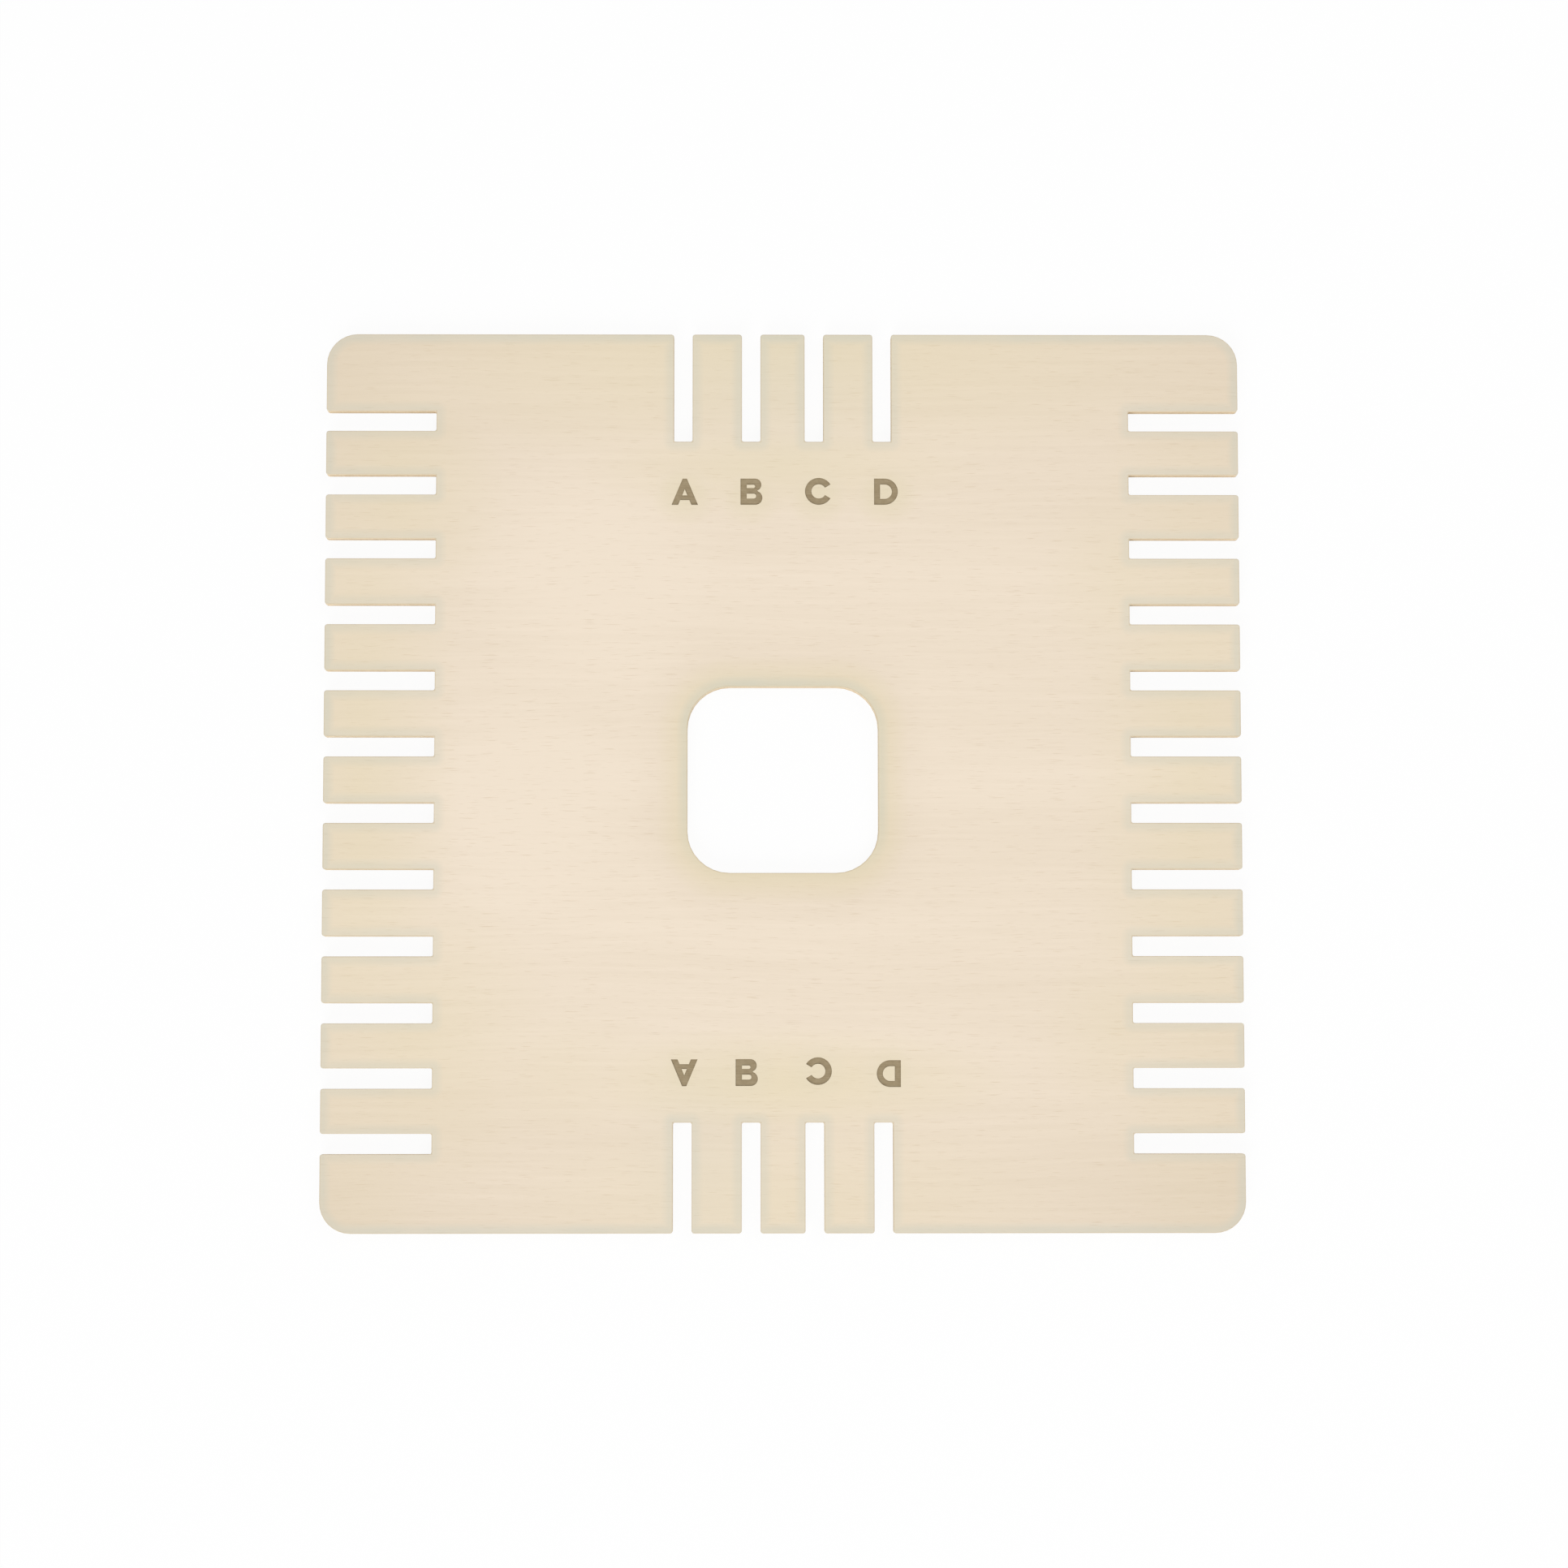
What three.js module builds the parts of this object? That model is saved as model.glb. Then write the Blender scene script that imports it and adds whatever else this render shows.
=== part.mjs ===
// A flat braiding plate for crossing threads by hand, cut out of one sheet of thin plywood.
// The plate lies in the XY plane with its back face on z = 0 and its lettered front face on top.
// +X is the reader's right and +Y runs to the edge where the letters stand upright.

import * as THREE from 'three';

// Driving dimensions, in millimetres.

// The sheet: two face veneers, a core veneer laid across them, and a film of glue on each side of it.
const faceVeneer = 0.4;
const coreVeneer = 0.5;
const glueFilm = 0.1;

// The plate seen from the front.
const plateWidth = 100;
const plateHeight = 98.2;
const cornerRadius = 3.35;

// The window in the middle, which the finished braid hangs through.
const windowWidth = 20.8;
const windowHeight = 20.35;
const windowCornerRadius = 4.6;

// Every thread slot has eased corners at its mouth and small round corners at its blind end. No
// corner takes more than the limit's share of the tooth or the slot that it rounds.
const mouthRadius = 0.25;
const blindRadius = 0.2;
const roundingLimit = 0.48;

// The rows down the left and right edges: how many slots, the cut's width and depth, and the pitch.
// The outermost gaps between slots are a little narrower.
const sideSlots = 12;
const sideSlotWidth = 2.2;
const sideSlotDepth = 12.05;
const sidePitch = 7.25;
const sideOuterPitch = 7.05;
const sideOuterGaps = 2;

// The short rows at the middle of the top and bottom edges, with a slightly narrower gap in the
// centre. These slots are a little finer.
const endSlots = 4;
const endSlotWidth = 2.05;
const endSlotDepth = 11.9;
const endPitch = 6.89;
const endOuterPitch = 7.45;
const endOuterGaps = 1;

// Straight steps that stand for a quarter circle.
const cornerSteps = 8;
const slotCornerSteps = 2;

const quarterTurn = Math.PI / 2;
const centre = new THREE.Vector2(0, 0);

// Points of an arc, both ends included, with its angles in quarter turns from the first axis.
function arc(x, y, radius, from, to, steps) {
  const points = [];
  for (let step = 0; step <= steps; step += 1) {
    const angle = (from + ((to - from) * step) / steps) * quarterTurn;
    points.push(new THREE.Vector2(x + radius * Math.cos(angle), y + radius * Math.sin(angle)));
  }
  return points;
}

// Slot centres along one edge, measured from its middle. A slot that would cut into a corner's
// rounding is left out, so that each row ends in a whole tooth.
function slotCentres(row, halfStraight) {
  const places = [0];
  for (let gap = 1; gap < row.count; gap += 1) {
    const outer = gap <= row.outerGaps || gap >= row.count - row.outerGaps;
    places.push(places.at(-1) + (outer ? row.outerPitch : row.pitch));
  }
  const middle = places.at(-1) / 2;
  const reach = row.width / 2 + mouthRadius;
  return places.map((place) => place - middle).filter((place) => Math.abs(place) + reach < halfStraight);
}

// One thread slot, walked from left to right in the edge's own axes: x along it, y into the plate.
function slotPoints(place, row) {
  const narrowest = Math.min(row.pitch, row.outerPitch);
  const mouth = Math.min(mouthRadius, (narrowest - row.width) * roundingLimit);
  const blind = Math.min(blindRadius, row.width * roundingLimit);
  const left = place - row.width / 2;
  const right = place + row.width / 2;
  return [
    ...arc(left - mouth, mouth, mouth, -1, 0, slotCornerSteps),
    ...arc(left + blind, row.depth - blind, blind, 2, 1, slotCornerSteps),
    ...arc(right - blind, row.depth - blind, blind, 1, 0, slotCornerSteps),
    ...arc(right + mouth, mouth, mouth, 2, 3, slotCornerSteps),
  ];
}

// One edge with its slots and the rounded corner at its far end, in the edge's own axes.
function edgePoints(row, halfLength) {
  const halfStraight = halfLength - cornerRadius;
  return [
    ...slotCentres(row, halfStraight).flatMap((place) => slotPoints(place, row)),
    ...arc(halfStraight, cornerRadius, cornerRadius, -1, 0, cornerSteps),
  ];
}

// The whole outline: the four edges in turn, each swung a quarter turn further round the middle.
function plateOutline() {
  const sideRow = {
    count: sideSlots,
    width: sideSlotWidth,
    depth: sideSlotDepth,
    pitch: sidePitch,
    outerPitch: sideOuterPitch,
    outerGaps: sideOuterGaps,
  };
  const endRow = {
    count: endSlots,
    width: endSlotWidth,
    depth: endSlotDepth,
    pitch: endPitch,
    outerPitch: endOuterPitch,
    outerGaps: endOuterGaps,
  };
  const edges = [
    { row: endRow, length: plateWidth, across: plateHeight },
    { row: sideRow, length: plateHeight, across: plateWidth },
    { row: endRow, length: plateWidth, across: plateHeight },
    { row: sideRow, length: plateHeight, across: plateWidth },
  ];
  return edges.flatMap(({ row, length, across }, turn) =>
    edgePoints(row, length / 2).map((point) =>
      point.sub(new THREE.Vector2(0, across / 2)).rotateAround(centre, turn * quarterTurn),
    ),
  );
}

// The window: a rectangle with four generous round corners.
function windowOutline() {
  const x = windowWidth / 2 - windowCornerRadius;
  const y = windowHeight / 2 - windowCornerRadius;
  return [
    ...arc(x, -y, windowCornerRadius, -1, 0, cornerSteps),
    ...arc(x, y, windowCornerRadius, 0, 1, cornerSteps),
    ...arc(-x, y, windowCornerRadius, 1, 2, cornerSteps),
    ...arc(-x, -y, windowCornerRadius, 2, 3, cornerSteps),
  ];
}

const sheet = new THREE.Shape(plateOutline());
sheet.holes.push(new THREE.Path(windowOutline()));

// Materials: sanded pale limewood veneer, the slightly warmer core, and cured brown glue.
function faceWood() {
  return new THREE.MeshStandardMaterial({ color: 0xeddeca, roughness: 0.75, metalness: 0 });
}

function coreWood() {
  return new THREE.MeshStandardMaterial({ color: 0xdcc39c, roughness: 0.85, metalness: 0 });
}

function curedGlue() {
  return new THREE.MeshStandardMaterial({ color: 0x8a6a45, roughness: 0.6, metalness: 0 });
}

// The layers from the back face up. The laser cuts the glued sheet in one pass, so that every layer
// has the same outline, and each layer lies on the one below it.
const layers = [
  { name: 'back_veneer', thickness: faceVeneer, material: faceWood() },
  { name: 'back_glue_line', thickness: glueFilm, material: curedGlue() },
  { name: 'core_veneer', thickness: coreVeneer, material: coreWood() },
  { name: 'front_glue_line', thickness: glueFilm, material: curedGlue() },
  { name: 'front_veneer', thickness: faceVeneer, material: faceWood() },
];

const braidingPlate = new THREE.Group();
let level = 0;
for (const { name, thickness, material } of layers) {
  const geometry = new THREE.ExtrudeGeometry(sheet, { depth: thickness, bevelEnabled: false });
  const layer = new THREE.Mesh(geometry, material);
  layer.name = name;
  layer.position.z = level;
  braidingPlate.add(layer);
  level += thickness;
}

export default braidingPlate;
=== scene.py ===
import math

import bpy
from mathutils import Euler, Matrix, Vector


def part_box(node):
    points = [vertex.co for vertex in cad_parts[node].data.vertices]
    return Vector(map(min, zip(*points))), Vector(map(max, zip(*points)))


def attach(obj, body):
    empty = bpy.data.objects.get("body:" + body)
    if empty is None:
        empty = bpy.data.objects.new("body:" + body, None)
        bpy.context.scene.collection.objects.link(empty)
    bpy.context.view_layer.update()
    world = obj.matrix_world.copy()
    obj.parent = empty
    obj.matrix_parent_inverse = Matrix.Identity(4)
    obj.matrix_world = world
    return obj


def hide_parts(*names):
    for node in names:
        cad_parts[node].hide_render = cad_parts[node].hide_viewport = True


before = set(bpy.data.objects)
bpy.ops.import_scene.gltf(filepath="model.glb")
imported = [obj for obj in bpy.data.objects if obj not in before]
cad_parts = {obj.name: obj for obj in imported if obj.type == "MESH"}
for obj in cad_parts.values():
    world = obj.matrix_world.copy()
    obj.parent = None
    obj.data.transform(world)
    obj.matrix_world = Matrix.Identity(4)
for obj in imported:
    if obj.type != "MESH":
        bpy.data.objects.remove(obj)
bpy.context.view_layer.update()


# Camera. The plate is looked at from above its lettered face, with the eye a few centimetres
# towards the near edge, so that the far edge comes out a little shorter than the near one.

mm = 0.001
face_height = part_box("front_veneer")[1].z
image_side = 1932
focal_length_in_pixels = 4540
sensor_side = 36
eye_distance = 401.2 * mm
eye_tilt = math.radians(4.67)
eye_lean = math.radians(-0.5)
aim = Vector((0.13 * mm, -0.48 * mm, face_height))
nearest_seen = 10 * mm

eye_turn = Euler((eye_tilt, eye_lean, 0), "ZYX").to_matrix()
bpy.ops.object.select_all(action="DESELECT")
bpy.ops.object.camera_add(
    location=aim + eye_turn @ Vector((0, 0, eye_distance)),
    rotation=eye_turn.to_euler(),
)
camera = bpy.context.object
camera.data.sensor_width = sensor_side
camera.data.lens = sensor_side * focal_length_in_pixels / image_side
camera.data.clip_start = nearest_seen
bpy.context.scene.camera = camera
bpy.context.scene.view_settings.view_transform = "Standard"


# Studio light. A white tent gives most of the light from all round. A broad lamp on the near side,
# a little to the left, shines into the cuts, so that their far walls stay light, and a weaker one
# on the far side to the right evens it out.

tent_level = 0.55
main_lamp_place = Vector((-0.42, -1.19, 0.81))
main_lamp_side = 1.0
main_lamp_power = 13.5
fill_lamp_place = Vector((0.55, 0.45, 0.75))
fill_lamp_side = 0.8
fill_lamp_power = 2.7


def add_node(tree, kind, inputs, **settings):
    """A new shader node. inputs names its sockets, each with a value or with the output to link."""
    made = tree.nodes.new(kind)
    for name, value in settings.items():
        setattr(made, name, value)
    for name, value in inputs.items():
        if isinstance(value, bpy.types.NodeSocket):
            tree.links.new(value, made.inputs[name])
        else:
            made.inputs[name].default_value = value
    return made


def calculate(tree, operation, first, second=0.0):
    """One sum on one or two numbers or outputs."""
    return add_node(tree, "ShaderNodeMath", {0: first, 1: second}, operation=operation).outputs[0]


def seen_directly(tree):
    """1 for rays that show a surface as it is: to the camera, in a reflection or through glass."""
    path = add_node(tree, "ShaderNodeLightPath", {}).outputs
    shown = calculate(tree, "MAXIMUM", path["Is Camera Ray"], path["Is Glossy Ray"])
    return calculate(tree, "MAXIMUM", shown, path["Is Transmission Ray"])


def add_lamp(name, place, side, power):
    """A square soft box that faces the middle of the plate."""
    facing = (aim - place).to_track_quat("-Z", "Y").to_euler()
    bpy.ops.object.light_add(type="AREA", location=place, rotation=facing)
    lamp = bpy.context.object
    lamp.name = name
    lamp.data.size = side
    lamp.data.energy = power


studio = bpy.data.worlds.new("studio")
studio.use_nodes = True
bpy.context.scene.world = studio
tree = studio.node_tree
tree.nodes.clear()
white = (1, 1, 1, 1)
tent_light = add_node(tree, "ShaderNodeBackground", {"Color": white, "Strength": tent_level})
tent_seen = add_node(tree, "ShaderNodeBackground", {"Color": white, "Strength": 1})
tent = add_node(
    tree,
    "ShaderNodeMixShader",
    {0: seen_directly(tree), 1: tent_light.outputs[0], 2: tent_seen.outputs[0]},
)
add_node(tree, "ShaderNodeOutputWorld", {"Surface": tent.outputs[0]})
add_lamp("main_lamp", main_lamp_place, main_lamp_side, main_lamp_power)
add_lamp("fill_lamp", fill_lamp_place, fill_lamp_side, fill_lamp_power)


# Floor. A plain white sheet that the plate lies on. It shows as clean white and keeps a faint share
# of the shadow, so that the plate is seen to rest on something. Far away it runs out into the white
# of the tent.

floor_side = 8
floor_drop = 0.02 * mm
floor_white = (0.93, 0.93, 0.93, 1)
floor_glow_share = 0.93
floor_fade_start = 300 * mm
floor_fade_end = 1500 * mm


def between(tree, value, low, high, first, last):
    """value's stretch from low to high, laid over first to last and held there."""
    return add_node(
        tree,
        "ShaderNodeMapRange",
        {0: value, 1: low, 2: high, 3: first, 4: last},
    ).outputs[0]


def new_material(name):
    """An empty node material."""
    material = bpy.data.materials.new(name)
    material.use_nodes = True
    material.node_tree.nodes.clear()
    return material


bpy.ops.object.select_all(action="DESELECT")
bpy.ops.mesh.primitive_plane_add(size=floor_side, location=(0, 0, -floor_drop))
floor = bpy.context.object
floor.name = "floor"
floor_paper = new_material("white_floor_paper")
tree = floor_paper.node_tree
lit = add_node(tree, "ShaderNodeBsdfDiffuse", {"Color": floor_white})
glow = add_node(tree, "ShaderNodeEmission", {"Color": white, "Strength": 1})
where = add_node(tree, "ShaderNodeTexCoord", {}).outputs["Object"]
away = add_node(tree, "ShaderNodeVectorMath", {0: where}, operation="LENGTH").outputs["Value"]
share = between(tree, away, floor_fade_start, floor_fade_end, floor_glow_share, 1.0)
share = calculate(tree, "MULTIPLY", seen_directly(tree), share)
paper = add_node(
    tree, "ShaderNodeMixShader", {0: share, 1: lit.outputs[0], 2: glow.outputs[0]}
)
add_node(tree, "ShaderNodeOutputMaterial", {"Surface": paper.outputs[0]})
floor.data.materials.append(floor_paper)


# Back veneer. The lowest sheet of limewood, 0.4 mm thick, with its grain running from left to right.
# It was peeled, dried and glued to the core, sanded, and cut through last, where the laser's light
# leaves the wood, so that its lower edge is eased even less than the front's.

back_arris = 0.03 * mm

pale_wood = (242, 227, 207)
deep_wood = (226, 210, 187)
vessel_brown = (214, 193, 164)
toasted_rim = (208, 190, 158)
smoke_tint = (224, 212, 163)
soot_grey = (205, 206, 192)
cut_wood = (244, 230, 206)
cut_end_grain = (234, 218, 190)
cut_scorch = (206, 183, 149)

# The plate and its cuts, as the solids have them: the laser's marks follow every edge.
plate_half_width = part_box("back_veneer")[1].x
plate_half_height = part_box("back_veneer")[1].y
plate_corner = 3.35 * mm
window_half_width = 10.4 * mm
window_half_height = 10.175 * mm
window_corner = 4.6 * mm
side_pitch = 7.25 * mm
side_outer_pitch = 7.05 * mm
side_even_gaps = 7
side_slots = 12
side_slot_width = 2.2 * mm
side_slot_depth = 12.05 * mm
end_slot_places = (3.445 * mm, 10.895 * mm)
end_slot_width = 2.05 * mm
end_slot_depth = 11.9 * mm

# The grain: the length and width of each pattern's spots, and how strongly it shows. A pool of painted
# light makes the wood palest at its middle, with painted shade deepening towards the plate's edges.
noise_low = 0.3
noise_high = 0.7
sway_spot = (70 * mm, 22 * mm)
sway_height = 3 * mm
band_spot = (110 * mm, 11 * mm)
band_strength = 0.3
fibre_spot = (14 * mm, 0.42 * mm)
fibre_strength = 0.1
vessel_spot = (2.2 * mm, 0.10 * mm)
vessel_start = 0.64
vessel_full = 0.74
vessel_strength = 0.45
painted_light_middle = (-1 * mm, 0)
painted_light_reach = (75 * mm, 78 * mm)
painted_light_fall = 3.0
sanded_roughness = (0.66, 0.78)

# The marks along the edges: where each starts to fade, where it ends, and its strength. The first is
# painted shade round the window; the rest are the laser's.
painted_shade_round_window = (0.0, 6 * mm, 0.35)
window_smoke = (0.0, 3.4 * mm, 0.34)
rim_toast = (0.03 * mm, 0.14 * mm, 0.7)
slot_soot = (0.45 * mm, 1.25 * mm, 0.36)
outline_soot = (0.45 * mm, 1.25 * mm, 0.52)
window_soot = (0.45 * mm, 1.25 * mm, 0.42)
window_soot_least = 0.2
window_soot_least_at = -10 * mm
window_soot_full_at = -4 * mm
mark_spot = (4 * mm, 4 * mm)
mark_least = 0.7

# The cut walls: fine upright lines, larger patches, and the darkening on the window's far wall.
wall_line_width = 0.12 * mm
wall_line_length = 2.5 * mm
wall_line_strength = 0.25
wall_patch_spot = (3 * mm, 3 * mm)
wall_patch_strength = 0.2
wall_roughness = (0.7, 0.9)
window_far_wall_darkening = [((0, window_half_height), (24 * mm, 1.5 * mm), 0.6)]


def colour(red, green, blue):
    """A colour of the screen, 0 to 255 a channel, as the numbers that a shader works in."""
    linear = []
    for level in (red, green, blue):
        share = level / 255
        linear.append(share / 12.92 if share <= 0.04045 else ((share + 0.055) / 1.055) ** 2.4)
    return (*linear, 1)


def along_grain(tree, spot, middle=(0, 0), drift=None):
    """Object coordinates in which a pattern's spots have this length along X and this width along
    Y, in metres, with the pattern's own middle at middle. drift bends the lines a little."""
    source = add_node(tree, "ShaderNodeTexCoord", {}).outputs["Object"]
    if drift is not None:
        source = add_node(
            tree, "ShaderNodeVectorMath", {0: source, 1: drift}, operation="ADD"
        ).outputs[0]
    length, width = spot
    return add_node(
        tree,
        "ShaderNodeMapping",
        {
            "Vector": source,
            "Scale": (1 / length, 1 / width, 1 / width),
            "Location": (-middle[0] / length, -middle[1] / width, 0),
        },
    ).outputs[0]


def cloudy(tree, where, detail=2.0):
    """Soft noise from 0 to 1."""
    return add_node(
        tree,
        "ShaderNodeTexNoise",
        {"Vector": where, "Scale": 1.0, "Detail": detail, "Roughness": 0.5},
    ).outputs[0]


def varied(tree, noise, first, last):
    """Soft noise, nearly all of which lies from noise_low to noise_high, laid over first to last."""
    return between(tree, noise, noise_low, noise_high, first, last)


def fading(tree, distance, start, end, strength):
    """strength as far as start, and less and less from there, down to nothing at end."""
    return between(tree, distance, start, end, strength, 0.0)


def blended(tree, share, first, second):
    """A mix of two colours."""
    return add_node(
        tree, "ShaderNodeMix", {0: share, 6: first, 7: second}, data_type="RGBA"
    ).outputs[2]


def finish_surface(tree, tone, roughness, height, relief, shine):
    """A matt surface of this tone, with its relief in metres, and its output."""
    bump = add_node(
        tree, "ShaderNodeBump", {"Strength": 1.0, "Distance": relief, "Height": height}
    )
    surface = add_node(
        tree,
        "ShaderNodeBsdfPrincipled",
        {
            "Base Color": tone,
            "Roughness": roughness,
            "Specular IOR Level": shine,
            "Normal": bump.outputs[0],
        },
    )
    add_node(tree, "ShaderNodeOutputMaterial", {"Surface": surface.outputs[0]})


def reach_past(tree, across, along):
    """How far a point lies past two lines at once, as from the corner where they meet."""
    both = add_node(tree, "ShaderNodeCombineXYZ", {"X": across, "Y": along}).outputs[0]
    past = add_node(
        tree, "ShaderNodeVectorMath", {0: both, 1: (0, 0, 0)}, operation="MAXIMUM"
    ).outputs[0]
    return add_node(tree, "ShaderNodeVectorMath", {0: past}, operation="LENGTH").outputs["Value"]


def folded_place(tree):
    """The point's distance from the plate's two middle lines: the plate is alike in all four
    quarters."""
    where = add_node(tree, "ShaderNodeTexCoord", {}).outputs["Object"]
    folded = add_node(tree, "ShaderNodeVectorMath", {0: where}, operation="ABSOLUTE").outputs[0]
    return add_node(tree, "ShaderNodeSeparateXYZ", {0: folded}).outputs[:2]


def past_window(tree, x, y):
    """How far a point lies outside the window's rounded edge."""
    across = calculate(tree, "SUBTRACT", x, window_half_width - window_corner)
    along = calculate(tree, "SUBTRACT", y, window_half_height - window_corner)
    return calculate(tree, "SUBTRACT", reach_past(tree, across, along), window_corner)


def inside_outline(tree, x, y):
    """How far a point lies inside the plate's outer edge, measured no further in than the radius of
    the corners."""
    across = calculate(tree, "SUBTRACT", x, plate_half_width - plate_corner)
    along = calculate(tree, "SUBTRACT", y, plate_half_height - plate_corner)
    return calculate(tree, "SUBTRACT", plate_corner, reach_past(tree, across, along))


def beside_side_slots(tree, x, y):
    """How far a point lies from the nearest slot of the left and right rows. The outer gaps are
    stretched to the even pitch first, and past the last slot the pattern stops."""
    even_reach = side_pitch * side_even_gaps / 2
    past_even = calculate(tree, "MAXIMUM", calculate(tree, "SUBTRACT", y, even_reach), 0.0)
    stretch = calculate(tree, "MULTIPLY", past_even, side_pitch / side_outer_pitch - 1)
    even = calculate(tree, "ADD", y, stretch)
    even = calculate(tree, "MINIMUM", even, side_pitch * side_slots / 2)
    within = calculate(tree, "MODULO", even, side_pitch)
    from_centre = calculate(tree, "ABSOLUTE", calculate(tree, "SUBTRACT", within, side_pitch / 2))
    beside = calculate(tree, "SUBTRACT", from_centre, side_slot_width / 2)
    past_blind_end = calculate(tree, "SUBTRACT", plate_half_width - side_slot_depth, x)
    return reach_past(tree, past_blind_end, beside)


def beside_end_slots(tree, x, y):
    """How far a point lies from the nearest slot of the top and bottom rows."""
    inner, outer = (
        calculate(tree, "ABSOLUTE", calculate(tree, "SUBTRACT", x, place))
        for place in end_slot_places
    )
    from_centre = calculate(tree, "MINIMUM", inner, outer)
    beside = calculate(tree, "SUBTRACT", from_centre, end_slot_width / 2)
    past_blind_end = calculate(tree, "SUBTRACT", plate_half_height - end_slot_depth, y)
    return reach_past(tree, past_blind_end, beside)


def soft_marks(tree, marks):
    """The strongest of several round smudges, each with its middle, its reach each way and its
    strength in the middle."""
    strongest = 0.0
    for middle, reach, strength in marks:
        mark = add_node(
            tree,
            "ShaderNodeTexGradient",
            {"Vector": along_grain(tree, reach, middle=middle)},
            gradient_type="SPHERICAL",
        ).outputs[1]
        mark = calculate(tree, "MULTIPLY", mark, strength)
        strongest = calculate(tree, "MAXIMUM", strongest, mark)
    return strongest


def grown_wood(tree, from_window, pale):
    """The wood before the laser marks it: its tone, its fibres and its vessel lines. The tone carries
    painted light, palest in the middle and on the pale patches, and painted shade, a little deeper
    towards the plate's edges and round the window."""
    sway = cloudy(tree, along_grain(tree, sway_spot))
    sway_across = calculate(tree, "MULTIPLY", sway, sway_height)
    drift = add_node(tree, "ShaderNodeCombineXYZ", {"Y": sway_across}).outputs[0]
    bands = cloudy(tree, along_grain(tree, band_spot, drift=drift), detail=3)
    fibres = cloudy(tree, along_grain(tree, fibre_spot, drift=drift), detail=4)
    vessels = cloudy(tree, along_grain(tree, vessel_spot, drift=drift), detail=1)
    # Painted light: a pool of light in the middle of the plate, with painted shade towards its edges.
    glow = soft_marks(tree, [(painted_light_middle, painted_light_reach, 1.0)])
    depth = calculate(tree, "POWER", calculate(tree, "SUBTRACT", 1.0, glow), painted_light_fall)
    depth = calculate(tree, "ADD", depth, varied(tree, bands, 0.0, band_strength))
    depth = calculate(tree, "ADD", depth, varied(tree, fibres, -fibre_strength, fibre_strength))
    # Painted shade round the window.
    depth = calculate(tree, "ADD", depth, fading(tree, from_window, *painted_shade_round_window))
    # Painted light: paler patches on the left of the face.
    depth = calculate(tree, "SUBTRACT", depth, soft_marks(tree, pale))
    tone = blended(tree, depth, colour(*pale_wood), colour(*deep_wood))
    vessel = between(tree, vessels, vessel_start, vessel_full, 0.0, vessel_strength)
    return blended(tree, vessel, tone, colour(*vessel_brown)), fibres, vessel


def laser_marked(tree, tone, x, y, from_window, smoke, soot):
    """The tone under the laser's marks: pale smoke, then a breath of soot, weaker at the window's
    near edge, and last the toasted rims."""
    from_outline = inside_outline(tree, x, y)
    from_slots = calculate(
        tree, "MINIMUM", beside_side_slots(tree, x, y), beside_end_slots(tree, x, y)
    )
    from_edge = calculate(tree, "MINIMUM", from_outline, from_slots)
    from_edge = calculate(tree, "MINIMUM", from_edge, from_window)
    patchy = varied(tree, cloudy(tree, along_grain(tree, mark_spot)), mark_least, 1.0)

    smoked = fading(tree, from_window, *window_smoke)
    smoked = calculate(tree, "MAXIMUM", smoked, soft_marks(tree, smoke))

    where = add_node(tree, "ShaderNodeTexCoord", {}).outputs["Object"]
    unfolded_y = add_node(tree, "ShaderNodeSeparateXYZ", {0: where}).outputs["Y"]
    farther = between(
        tree, unfolded_y, window_soot_least_at, window_soot_full_at, window_soot_least, 1.0
    )
    at_window = calculate(tree, "MULTIPLY", fading(tree, from_window, *window_soot), farther)
    at_slots = fading(tree, from_slots, *slot_soot)
    at_outline = fading(tree, from_outline, *outline_soot)
    sooty = calculate(tree, "MAXIMUM", calculate(tree, "MAXIMUM", at_slots, at_outline), at_window)
    sooty = calculate(tree, "MULTIPLY", sooty, patchy)
    sooty = calculate(tree, "ADD", sooty, soft_marks(tree, soot))

    browned = calculate(tree, "MULTIPLY", fading(tree, from_edge, *rim_toast), patchy)
    tone = blended(tree, smoked, tone, colour(*smoke_tint))
    tone = blended(tree, sooty, tone, colour(*soot_grey))
    return blended(tree, browned, tone, colour(*toasted_rim))


def sanded_limewood(name, smoke, soot, pale):
    """Sanded limewood veneer: close, straight, almost plain grain with fine short vessel lines and
    soft bands from the peeling, under painted light that is palest in the middle and painted shade
    towards the plate's edges and round the window. The laser has toasted its rims, left a breath of
    soot along every cut and drawn pale smoke out of the window. smoke and soot list the further
    marks, soot also the darkening along the window's far edge, and pale the patches of painted light,
    all as soft_marks takes them."""
    material = new_material(name)
    tree = material.node_tree
    x, y = folded_place(tree)
    from_window = past_window(tree, x, y)
    tone, fibres, vessel = grown_wood(tree, from_window, pale)
    tone = laser_marked(tree, tone, x, y, from_window, smoke, soot)
    height = calculate(tree, "SUBTRACT", fibres, vessel)
    roughness = varied(tree, fibres, *sanded_roughness)
    finish_surface(tree, tone, roughness, height, relief=0.012 * mm, shine=0.25)
    return material


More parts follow.
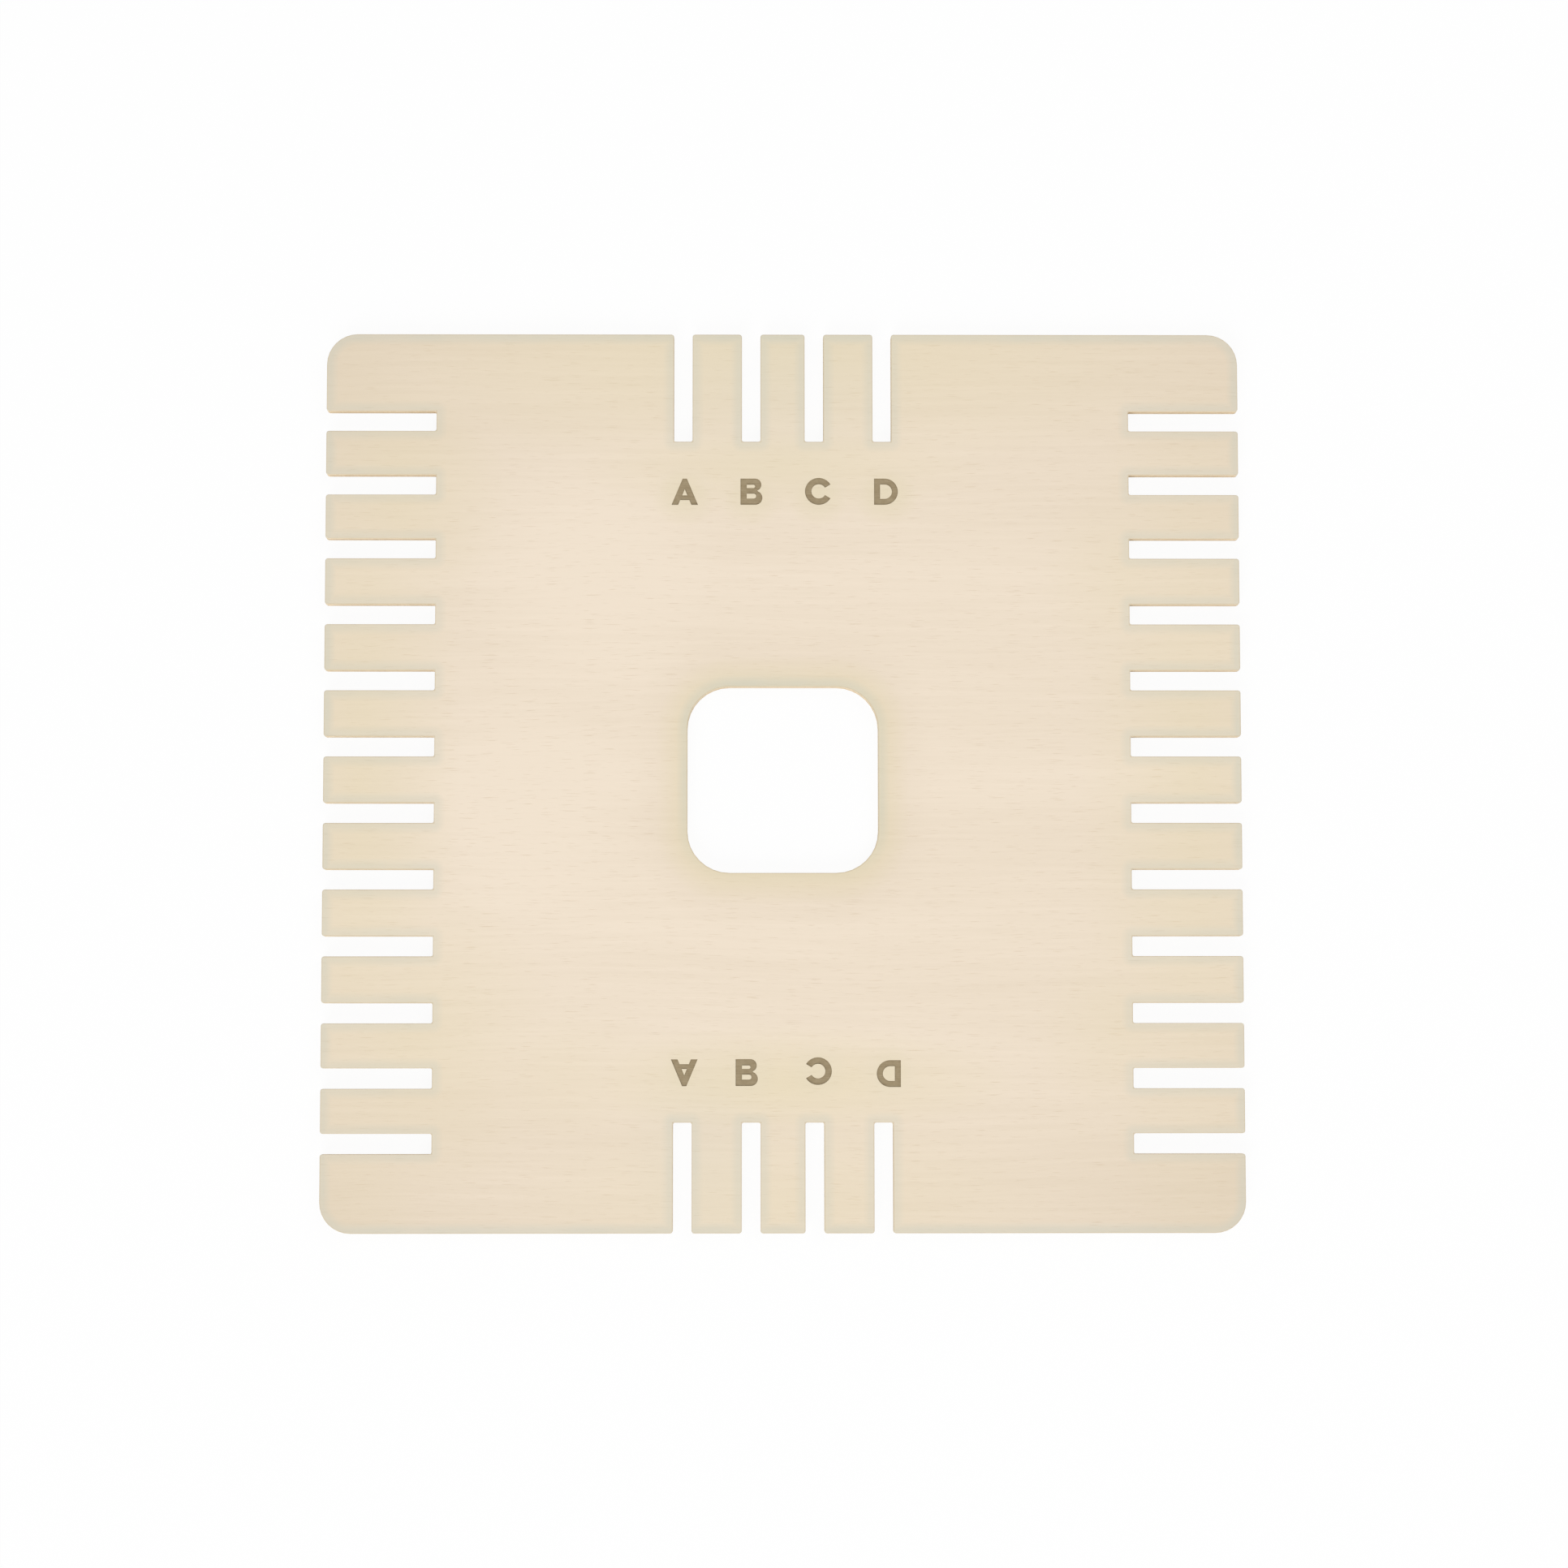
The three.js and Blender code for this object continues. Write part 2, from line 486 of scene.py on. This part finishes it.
def laser_cut_wood(name, side_grain, end_grain, end_axis):
    """The wall that the laser leaves: lightly browned wood with fine upright lines, darker where the
    fibres end in it and along the window's far wall. end_axis is X or Y, the way that the fibres
    run."""
    material = new_material(name)
    tree = material.node_tree
    where = add_node(tree, "ShaderNodeTexCoord", {}).outputs["Object"]
    upright = add_node(
        tree,
        "ShaderNodeMapping",
        {
            "Vector": where,
            "Scale": (1 / wall_line_width, 1 / wall_line_width, 1 / wall_line_length),
        },
    ).outputs[0]
    lines = cloudy(tree, upright)
    patches = cloudy(tree, along_grain(tree, wall_patch_spot), detail=1)
    facing = add_node(tree, "ShaderNodeNewGeometry", {}).outputs["Normal"]
    split = add_node(tree, "ShaderNodeSeparateXYZ", {0: facing}).outputs[end_axis]
    ended = calculate(tree, "ABSOLUTE", split)
    tone = blended(tree, ended, colour(*side_grain), colour(*end_grain))
    darker = varied(tree, lines, 0.0, wall_line_strength)
    darker = calculate(tree, "ADD", darker, varied(tree, patches, 0.0, wall_patch_strength))
    # Darker along the window's far wall.
    darker = calculate(tree, "ADD", darker, soft_marks(tree, window_far_wall_darkening))
    tone = blended(tree, darker, tone, colour(*cut_scorch))
    roughness = varied(tree, lines, *wall_roughness)
    finish_surface(tree, tone, roughness, lines, relief=0.02 * mm, shine=0.2)
    return material


def layer_copy(node):
    """A copy of a layer's solid with its triangles merged into whole faces, open in edit mode."""
    weld_distance = 0.001 * mm
    same_plane = math.radians(1)
    piece = bpy.data.objects.new(node + "_sheet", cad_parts[node].data.copy())
    bpy.context.scene.collection.objects.link(piece)
    bpy.ops.object.select_all(action="DESELECT")
    piece.select_set(True)
    bpy.context.view_layer.objects.active = piece
    piece.data.materials.clear()
    bpy.ops.object.mode_set(mode="EDIT")
    bpy.ops.mesh.select_mode(type="FACE")
    bpy.ops.mesh.select_all(action="SELECT")
    bpy.ops.mesh.customdata_custom_splitnormals_clear()
    bpy.ops.mesh.remove_doubles(threshold=weld_distance)
    bpy.ops.mesh.dissolve_limited(angle_limit=same_plane)
    return piece


def select_faces_up(piece, direction):
    """In edit mode, selects only the flat faces that look up, 1, or down, -1."""
    level = 0.999
    bpy.ops.mesh.select_mode(type="FACE")
    bpy.ops.mesh.select_all(action="DESELECT")
    bpy.ops.object.mode_set(mode="OBJECT")
    for face in piece.data.polygons:
        face.select = face.normal.z * direction > level
    bpy.ops.object.mode_set(mode="EDIT")


def ease_arris(piece, direction, arris):
    """Rounds the arris all round one face."""
    select_faces_up(piece, direction)
    bpy.ops.mesh.region_to_loop()
    bpy.ops.mesh.bevel(offset=arris, segments=2, affect="EDGES")
    bpy.ops.object.mode_set(mode="OBJECT")


def shade_eased(piece):
    """Smooth shading that rolls over the eased arris and the corners and leaves the flat faces flat."""
    sharpest_rolled = math.radians(50)
    bpy.ops.object.shade_smooth_by_angle(angle=sharpest_rolled)
    evened = piece.modifiers.new("evened_normals", "WEIGHTED_NORMAL")
    evened.keep_sharp = True
    bpy.ops.object.modifier_apply(modifier=evened.name)


def finish_layer(piece, node, face_material, wall_material):
    """Gives the flat faces and the cut walls their own finish, and puts the sheet on the plate."""
    wall_limit = 0.3
    piece.data.materials.append(face_material)
    piece.data.materials.append(wall_material)
    for face in piece.data.polygons:
        face.material_index = 0 if abs(face.normal.z) > wall_limit else 1
    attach(piece, "root")
    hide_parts(node)


back_sheet = layer_copy("back_veneer")
ease_arris(back_sheet, -1, back_arris)
back_smoke = []
back_smoke_strength = 0.2
for side in (-1, 1):
    back_smoke.append(((side * 45 * mm, 0), (12 * mm, 60 * mm), back_smoke_strength))
    back_smoke.append(((0, side * 44 * mm), (26 * mm, 12 * mm), back_smoke_strength))
plain_limewood = sanded_limewood("sanded_limewood_back", back_smoke, soot=[], pale=[])
veneer_walls = laser_cut_wood("laser_cut_veneer", cut_wood, cut_end_grain, "X")
finish_layer(back_sheet, "back_veneer", plain_limewood, veneer_walls)
shade_eased(back_sheet)


# Glue lines. Two films of cured resin, a tenth of a millimetre thick, that bond the core to the face
# veneers. The laser leaves them a darker brown than the wood on either side.

glue_brown = (200, 176, 141)
glue_scorch = (172, 146, 111)
glue_spot = (0.5 * mm, 0.5 * mm)
glue_spot_start = 0.35
glue_spot_full = 0.65
glue_roughness = (0.45, 0.65)


def cured_glue(name):
    """Hard brown resin, cut by the laser: a little glossier than wood, with dark scorched spots."""
    material = new_material(name)
    tree = material.node_tree
    spots = cloudy(tree, along_grain(tree, glue_spot), detail=3)
    share = between(tree, spots, glue_spot_start, glue_spot_full, 0.0, 1.0)
    tone = blended(tree, share, colour(*glue_brown), colour(*glue_scorch))
    roughness = varied(tree, spots, *glue_roughness)
    finish_surface(tree, tone, roughness, spots, relief=0.01 * mm, shine=0.4)
    return material


glue = cured_glue("cured_glue_line")
for node in ("back_glue_line", "front_glue_line"):
    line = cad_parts[node]
    line.data.materials.clear()
    line.data.materials.append(glue)


# Core veneer. The middle sheet, a little warmer in colour, with its grain laid across that of the
# faces, so that the plate stays flat. Only its cut edge is ever seen.

core_side_grain = (235, 218, 190)
core_end_grain = (224, 204, 172)

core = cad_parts["core_veneer"]
core.data.materials.clear()
core.data.materials.append(
    laser_cut_wood("laser_cut_core", core_side_grain, core_end_grain, "Y")
)


# Front veneer. The upper sheet of limewood, which carries the index letters. The laser goes in here,
# so that every edge is slightly rounded, with a thin toasted rim. Smoke has marked the wood along
# the rows of slots and round the letters, and soot the end teeth, and the window's far edge is darker.
# Painted light makes the face palest in the middle and on two patches to the left, and painted shade
# deepens it towards the edges and round the window.

front_arris = 0.05 * mm
letter_height = 2.89 * mm
letter_depth = 0.08 * mm
scorched = (169, 153, 124)
scorched_dark = (150, 133, 104)
burn_pass_spot = (4 * mm, 0.09 * mm)
burn_pass_range = (0.0, 0.5)
burn_patch_spot = (0.7 * mm, 0.5 * mm)
burn_patch_range = (-0.1, 0.5)
burn_roughness = (0.8, 0.95)

# The middle of each letter, in millimetres from the plate's middle, and the ones that are turned.
far_letters = {"A": (-10.72, 31.65), "B": (-3.43, 31.66), "C": (3.87, 31.7), "D": (11.3, 31.67)}
near_letters = {"A": (-10.69, -31.82), "B": (-3.94, -31.8), "C": (3.87, -31.65), "D": (11.48, -31.92)}
turned_near_letters = "ACD"

# Marks on this face, each with its middle, its reach each way and its strength.
# Painted light: two paler patches on the left of the face.
painted_light_patches = [
    ((-21 * mm, 23 * mm), (15 * mm, 15 * mm), 0.35),
    ((-29 * mm, -3 * mm), (14 * mm, 13 * mm), 0.4),
]
# Darker along the window's far edge.
window_far_edge_darkening = [
    ((-2 * mm, 10.4 * mm), (11 * mm, 2.4 * mm), 0.35),
    ((-2 * mm, 10.2 * mm), (14 * mm, 1.0 * mm), 0.55),
]
end_teeth_soot = [
    ((0, 44 * mm), (16 * mm, 14 * mm), 0.14),
    ((-9 * mm, -41 * mm), (9 * mm, 14 * mm), 0.13),
]
side_row_smoke = [
    ((-46 * mm, 0), (11 * mm, 62 * mm), 0.27),
    ((-42 * mm, 32 * mm), (12 * mm, 16 * mm), 0.26),
    ((-40 * mm, -28 * mm), (16 * mm, 18 * mm), 0.24),
    ((-24 * mm, -32 * mm), (13 * mm, 8 * mm), 0.14),
    ((45 * mm, 0), (13 * mm, 56 * mm), 0.25),
    ((38 * mm, 22 * mm), (10 * mm, 12 * mm), 0.17),
    ((37 * mm, -27 * mm), (10 * mm, 10 * mm), 0.17),
]
end_row_smoke = [
    ((0, 48 * mm), (52 * mm, 15 * mm), 0.34),
    ((0, -46 * mm), (30 * mm, 12 * mm), 0.22),
]
letter_row_smoke = [
    ((0, 34.7 * mm), (24 * mm, 6 * mm), 0.34),
    ((0, -32.8 * mm), (26 * mm, 6.5 * mm), 0.42),
]
letter_smoke_reach = (4.2 * mm, 4.2 * mm)
letter_smoke_strength = 0.5
letter_soot_reach = (3.8 * mm, 3.8 * mm)
letter_soot_strength = 0.14

# The letters are drawn one unit high, standing on the line with their middle at 0. A stroke is
# a share of that height.
letter_stroke = 0.225


def arc(centre, radii, start, end, steps=12):
    """Points of a curve round a centre, with its angles in degrees."""
    points = []
    for step in range(steps + 1):
        angle = math.radians(start + (end - start) * step / steps)
        points.append(
            (centre[0] + radii[0] * math.cos(angle), centre[1] + radii[1] * math.sin(angle))
        )
    return points


def letter_a():
    """Two slanted legs and a low bar, as an outer outline and the counter above the bar."""
    half = 0.50
    top = 0.08
    leg = 0.25
    slope = half - top
    bar_low = 0.18
    bar_high = 0.36
    low_gap = half - leg - slope * bar_low
    high_gap = half - leg - slope * bar_high
    outer = [
        (-half, 0), (leg - half, 0), (-low_gap, bar_low), (low_gap, bar_low),
        (half - leg, 0), (half, 0), (top, 1), (-top, 1),
    ]
    counter = [(-high_gap, bar_high), (high_gap, bar_high), (0, (half - leg) / slope)]
    return [outer, counter]


def letter_b():
    """A slightly heavier stem with two bowls, the lower one a little wider."""
    left = -0.41
    stroke = letter_stroke * 1.05
    half_bar = stroke * 0.45
    waist = 0.53
    right_low = 0.42
    right_high = 0.38
    low = waist / 2
    high = (1 - waist) / 2
    outer = [(left, 0)]
    outer += arc((right_low - low, low), (low, low), -90, 70)
    outer += arc((right_high - high, 1 - high), (high, high), -70, 90)
    outer += [(left, 1)]
    counters = []
    for bottom, top, right in (
        (stroke, waist - half_bar, right_low - stroke),
        (waist + half_bar, 1 - stroke, right_high - stroke),
    ):
        bowl = (top - bottom) / 2
        counter = [(left + stroke, bottom)]
        counter += arc((right - bowl, bottom + bowl), (bowl, bowl), -90, 90)
        counter += [(left + stroke, top)]
        counters.append(counter)
    return [outer, *counters]


def letter_c():
    """An open ring, slightly heavier and wider than it is high."""
    middle = (0.03, 0.5)
    across = 0.52
    up = 0.515
    stroke = letter_stroke * 1.08
    opening = 31
    steps = 28
    outer = arc(middle, (across, up), opening, 360 - opening, steps)
    inner = arc(middle, (across - stroke, up - stroke), 360 - opening, opening, steps)
    return [outer + inner]


def letter_d():
    """A stem with one round bowl."""
    left = -0.44
    right = 0.46
    stroke = letter_stroke
    radius = 0.5
    bowl = radius - stroke
    middle = (right - radius, radius)
    steps = 20
    outer = [(left, 0)] + arc(middle, (radius, radius), -90, 90, steps) + [(left, 1)]
    counter = [(left + stroke, stroke)]
    counter += arc(middle, (bowl, bowl), -90, 90, steps)
    counter += [(left + stroke, 1 - stroke)]
    return [outer, counter]


def letter_cutter(outlines, place, turned):
    """A solid letter that stands through the face, to be cut out of it."""
    weld_distance = 0.001 * mm
    curve = bpy.data.curves.new("letter_cutter", "CURVE")
    curve.dimensions = "2D"
    curve.fill_mode = "BOTH"
    curve.extrude = letter_depth
    sign = -1 if turned else 1
    for outline in outlines:
        spline = curve.splines.new("POLY")
        spline.points.add(len(outline) - 1)
        for point, (x, y) in zip(spline.points, outline):
            point.co = (sign * x * letter_height, sign * (y - 0.5) * letter_height, 0, 1)
        spline.use_cyclic_u = True
    cutter = bpy.data.objects.new("letter_cutter", curve)
    bpy.context.scene.collection.objects.link(cutter)
    bpy.ops.object.select_all(action="DESELECT")
    cutter.select_set(True)
    bpy.context.view_layer.objects.active = cutter
    bpy.ops.object.convert(target="MESH")
    cutter = bpy.context.object
    cutter.location = (place[0], place[1], face_height)
    bpy.ops.object.transform_apply(location=True)
    bpy.ops.object.mode_set(mode="EDIT")
    bpy.ops.mesh.select_all(action="SELECT")
    bpy.ops.mesh.remove_doubles(threshold=weld_distance)
    bpy.ops.mesh.normals_make_consistent(inside=False)
    bpy.ops.object.mode_set(mode="OBJECT")
    return cutter


def engraved_limewood(name):
    """The floor of a letter: wood burnt brown in fine passes of the laser from side to side."""
    material = new_material(name)
    tree = material.node_tree
    passes = cloudy(tree, along_grain(tree, burn_pass_spot), detail=1)
    patches = cloudy(tree, along_grain(tree, burn_patch_spot))
    share = varied(tree, passes, *burn_pass_range)
    share = calculate(tree, "ADD", share, varied(tree, patches, *burn_patch_range))
    tone = blended(tree, share, colour(*scorched), colour(*scorched_dark))
    roughness = varied(tree, passes, *burn_roughness)
    finish_surface(tree, tone, roughness, passes, relief=0.02 * mm, shine=0.1)
    return material


letters = {"A": letter_a(), "B": letter_b(), "C": letter_c(), "D": letter_d()}
cutters = []
smoke = side_row_smoke + end_row_smoke + letter_row_smoke
# soot also carries the darkening along the window's far edge.
soot = window_far_edge_darkening + end_teeth_soot
for places, turned_letters in ((far_letters, ""), (near_letters, turned_near_letters)):
    for letter, (across, along) in places.items():
        place = (across * mm, along * mm)
        cutters.append(letter_cutter(letters[letter], place, letter in turned_letters))
        smoke.append((place, letter_smoke_reach, letter_smoke_strength))
        soot.append((place, letter_soot_reach, letter_soot_strength))

front_sheet = layer_copy("front_veneer")
ease_arris(front_sheet, 1, front_arris)
marked_limewood = sanded_limewood("sanded_limewood_front", smoke, soot, painted_light_patches)
finish_layer(front_sheet, "front_veneer", marked_limewood, veneer_walls)
scorched_wood = engraved_limewood("engraved_limewood")
bpy.ops.object.select_all(action="DESELECT")
for cutter in cutters:
    cutter.select_set(True)
bpy.context.view_layer.objects.active = cutters[0]
bpy.ops.object.join()
cutter = bpy.context.object
cutter.data.materials.clear()
cutter.data.materials.append(scorched_wood)
bpy.ops.object.select_all(action="DESELECT")
front_sheet.select_set(True)
bpy.context.view_layer.objects.active = front_sheet
carve = front_sheet.modifiers.new("letters", "BOOLEAN")
carve.object = cutter
carve.operation = "DIFFERENCE"
carve.solver = "EXACT"
carve.material_mode = "TRANSFER"
bpy.ops.object.modifier_apply(modifier=carve.name)
bpy.data.objects.remove(cutter)
shade_eased(front_sheet)
